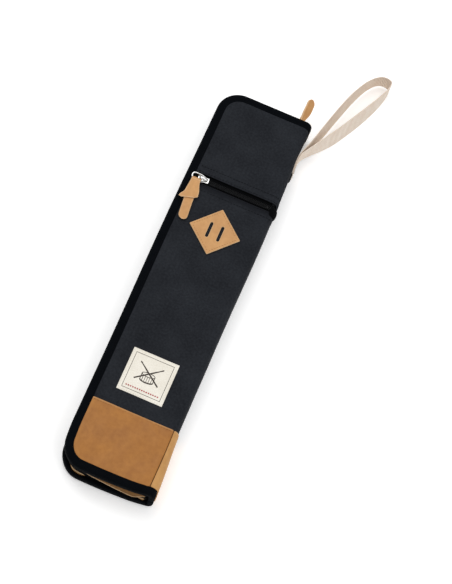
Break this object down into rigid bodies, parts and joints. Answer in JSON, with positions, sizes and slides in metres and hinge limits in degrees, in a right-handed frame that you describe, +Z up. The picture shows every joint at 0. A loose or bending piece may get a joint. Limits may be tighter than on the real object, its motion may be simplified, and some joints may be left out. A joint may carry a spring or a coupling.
{
  "type": "drum stick bag",
  "caption": "Slim folding drum stick bag: two padded covers on a spine, a zip round the rim, a front pocket, inner stick sleeves and a hand strap.",
  "frame": {"origin": "centre of the back cover's outer face, on the surface that the closed bag lies on", "axes": "+X across the bag towards the spine, +Y along the bag towards the end with the hand strap, +Z up, out of the front cover"},
  "size_m": [0.1765, 0.5882, 0.0399],
  "materials": {
    "black_woven_fabric": "dense woven polyester, matt",
    "black_binding_tape": "ribbed woven binding tape",
    "dark_lining": "thin plain-weave lining",
    "foam": "closed-cell foam board",
    "tan_leather": "oiled split leather, matt, pale where it is worn",
    "pale_tan_leather": "thick oiled leather with pale raw edges",
    "cream_webbing": "ribbed cotton webbing",
    "black_zip_tape": "fine woven zip tape",
    "black_coil": "nylon coil",
    "cream_label_cloth": "printed cotton twill",
    "bright_nickel": "polished nickel plate"
  },
  "bodies": {
    "back_cover": {"back_shell": "black_woven_fabric", "back_leather_base": "tan_leather", "back_foam_board": "foam", "back_lining": "dark_lining", "back_binding": "black_binding_tape", "back_gusset": "black_woven_fabric", "back_gusset_leather": "tan_leather", "back_zip_tape": "black_zip_tape", "back_zip_teeth": "black_coil", "stick_sleeves": "dark_lining", "sleeve_mouth_binding": "black_binding_tape"},
    "spine": {"spine_shell": "black_woven_fabric", "spine_leather_base": "tan_leather", "spine_binding_top": "black_binding_tape", "spine_binding_bottom": "black_binding_tape", "spine_padding": "foam", "spine_lining": "dark_lining", "strap_anchor_patch": "black_woven_fabric", "hand_strap_sewn_ends": "cream_webbing"},
    "front_cover": {"front_upper_panel": "black_woven_fabric", "pocket_panel": "black_woven_fabric", "front_leather_base": "tan_leather", "pocket_back_wall": "dark_lining", "front_foam_board": "foam", "front_lining": "dark_lining", "front_binding": "black_binding_tape", "front_gusset": "black_woven_fabric", "front_gusset_leather": "tan_leather", "front_zip_tape": "black_zip_tape", "front_zip_teeth": "black_coil", "pocket_zip_tape_upper": "black_zip_tape", "pocket_zip_tape_lower": "black_zip_tape", "pocket_zip_teeth_upper": "black_coil", "pocket_zip_teeth_lower": "black_coil", "lash_patch": "pale_tan_leather", "label": "cream_label_cloth", "inner_slip_pocket": "dark_lining", "slip_pocket_binding": "black_binding_tape"},
    "hand_strap": {"hand_strap": "cream_webbing"},
    "pocket_slider": {"pocket_slider": "bright_nickel"},
    "pocket_bail": {"pocket_bail": "bright_nickel"},
    "pocket_pull": {"pocket_pull": "pale_tan_leather"},
    "main_slider": {"main_slider": "bright_nickel"},
    "main_bail": {"main_bail": "bright_nickel"},
    "main_pull": {"main_pull": "pale_tan_leather"}
  },
  "joints": [
    {"name": "back_fold", "type": "hinge", "parent": "back_cover", "child": "spine", "pos_m": [0.0508, 0, 0.0017], "axis": [0, 1, 0], "range_deg": [0, 90]},
    {"name": "front_fold", "type": "hinge", "parent": "spine", "child": "front_cover", "pos_m": [0.0508, 0, 0.0333], "axis": [0, 1, 0], "range_deg": [0, 90]},
    {"name": "strap_swing", "type": "hinge", "parent": "spine", "child": "hand_strap", "pos_m": [0.0556, 0.2052, 0.0175], "axis": [0, 0, 1], "range_deg": [-60, 8]},
    {"name": "pocket_zip", "type": "slide", "parent": "front_cover", "child": "pocket_slider", "axis": [1, 0, 0], "range_m": [0, 0.071]},
    {"name": "pocket_bail_lift", "type": "hinge", "parent": "pocket_slider", "child": "pocket_bail", "pos_m": [-0.033, 0.1215, 0.0377], "axis": [0, 1, 0], "range_deg": [0, 90]},
    {"name": "pocket_pull_lift", "type": "hinge", "parent": "pocket_bail", "child": "pocket_pull", "pos_m": [-0.0415, 0.11755, 0.0377], "axis": [-1, 0, 0], "range_deg": [0, 100]},
    {"name": "main_zip", "type": "slide", "parent": "back_cover", "child": "main_slider", "axis": [-1, 0, 0], "range_m": [0, 0.06]},
    {"name": "main_bail_swing", "type": "hinge", "parent": "main_slider", "child": "main_bail", "pos_m": [0.039, 0.2415, 0.0175], "axis": [0, 0, 1], "range_deg": [-45, 60]},
    {"name": "main_pull_swing", "type": "hinge", "parent": "main_bail", "child": "main_pull", "pos_m": [0.039, 0.24895, 0.0175], "axis": [0, 0, 1], "range_deg": [-40, 40]}
  ],
  "couplings": [
    {"joint": "front_fold", "follows": "back_fold", "ratio": 1}
  ]
}
